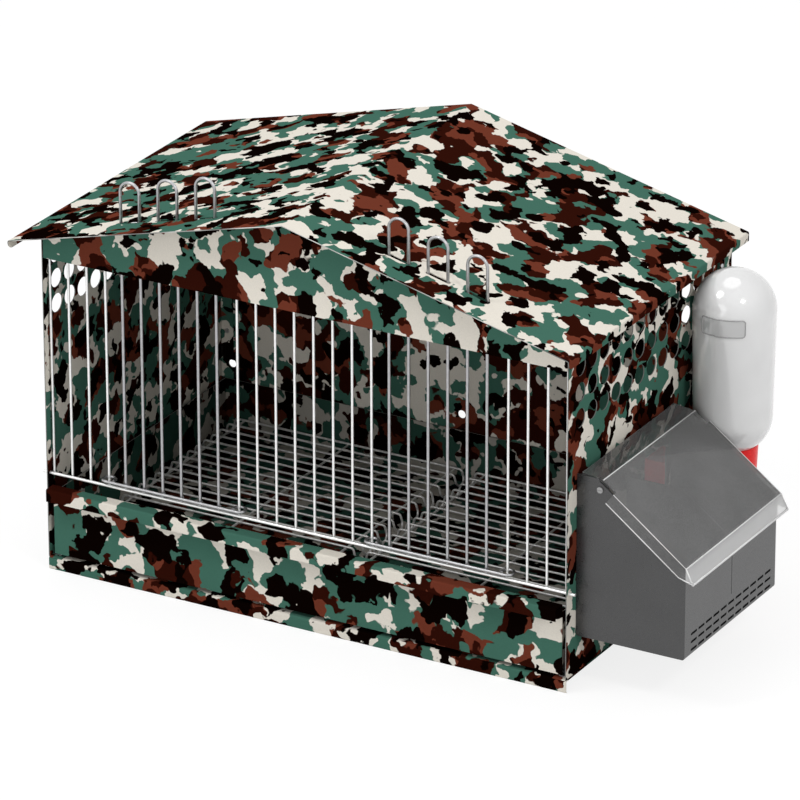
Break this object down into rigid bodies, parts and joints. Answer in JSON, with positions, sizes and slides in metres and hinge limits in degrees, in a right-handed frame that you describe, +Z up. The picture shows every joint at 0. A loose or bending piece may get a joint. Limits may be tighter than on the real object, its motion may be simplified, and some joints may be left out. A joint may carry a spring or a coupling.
{
  "type": "small livestock cage",
  "caption": "Gable-roofed printed sheet-metal cage with a barred wire front, lift-up doors, wire floors, droppings drawer, hopper feeder with hinged lid and bottle drinker.",
  "frame": {"origin": "middle of the whole box's footprint, on the ground", "axes": "+X to the feeder side, +Y from the barred front to the back, +Z up"},
  "size_m": [0.7486, 0.383, 0.4655],
  "materials": {
    "printed_sheet": "satin woodland camouflage print",
    "galvanised_wire": "bright galvanised wire",
    "grey_plastic": "fine-grained dark grey moulding",
    "smoked_clear_plastic": "clear smoked moulding",
    "light_grey_plastic": "light grey moulding",
    "white_plastic": "translucent white blow moulding",
    "red_plastic": "glossy red moulding",
    "rivet_metal": "plain rivet"
  },
  "bodies": {
    "cage": {"base_plate": "printed_sheet", "left_wall": "printed_sheet", "right_wall": "printed_sheet", "back_wall": "printed_sheet", "front_gable": "printed_sheet", "roof": "printed_sheet", "tray_runner_left": "printed_sheet", "tray_runner_right": "printed_sheet", "front_bars": "galvanised_wire", "grille_bottom_wire": "galvanised_wire", "grille_top_wire": "galvanised_wire", "feeder_body": "grey_plastic", "feeder_divider": "grey_plastic", "feeder_lid_pins": "light_grey_plastic", "base_rivets": "rivet_metal", "back_wall_rivets": "rivet_metal"},
    "left_door": {"left_door_bottom_wire": "galvanised_wire", "left_door_hoop_outer": "galvanised_wire", "left_door_hoop_middle": "galvanised_wire", "left_door_hoop_inner": "galvanised_wire"},
    "right_door": {"right_door_bottom_wire": "galvanised_wire", "right_door_hoop_outer": "galvanised_wire", "right_door_hoop_middle": "galvanised_wire", "right_door_hoop_inner": "galvanised_wire"},
    "drawer": {"droppings_tray": "printed_sheet", "tray_front": "printed_sheet"},
    "left_grid": {"left_floor_grid": "galvanised_wire"},
    "right_grid": {"right_floor_grid": "galvanised_wire"},
    "lid": {"feeder_lid": "smoked_clear_plastic"},
    "drinker": {"drinker_base": "red_plastic"},
    "bottle": {"drinker_bottle": "white_plastic"}
  },
  "joints": [
    {"name": "left_door_slide", "type": "slide", "parent": "cage", "child": "left_door", "axis": [0, 0, 1], "range_m": [0, 0.225]},
    {"name": "right_door_slide", "type": "slide", "parent": "cage", "child": "right_door", "axis": [0, 0, 1], "range_m": [0, 0.225]},
    {"name": "drawer_slide", "type": "slide", "parent": "cage", "child": "drawer", "axis": [0, -1, 0], "range_m": [0, 0.3]},
    {"name": "left_grid_lift", "type": "slide", "parent": "drawer", "child": "left_grid", "axis": [0, 0, 1], "range_m": [0, 0.05]},
    {"name": "right_grid_lift", "type": "slide", "parent": "drawer", "child": "right_grid", "axis": [0, 0, 1], "range_m": [0, 0.05]},
    {"name": "feeder_lid_hinge", "type": "hinge", "parent": "cage", "child": "lid", "pos_m": [0.26981, -0.0385, 0.218], "axis": [0, -1, 0], "range_deg": [0, 130]},
    {"name": "drinker_unplug", "type": "slide", "parent": "cage", "child": "drinker", "axis": [1, 0, 0], "range_m": [0, 0.06]},
    {"name": "bottle_twist", "type": "hinge", "parent": "drinker", "child": "bottle", "pos_m": [0.28881, 0.1085, 0.1793], "axis": [0, 0, 1], "range_deg": [0, 90]}
  ]
}
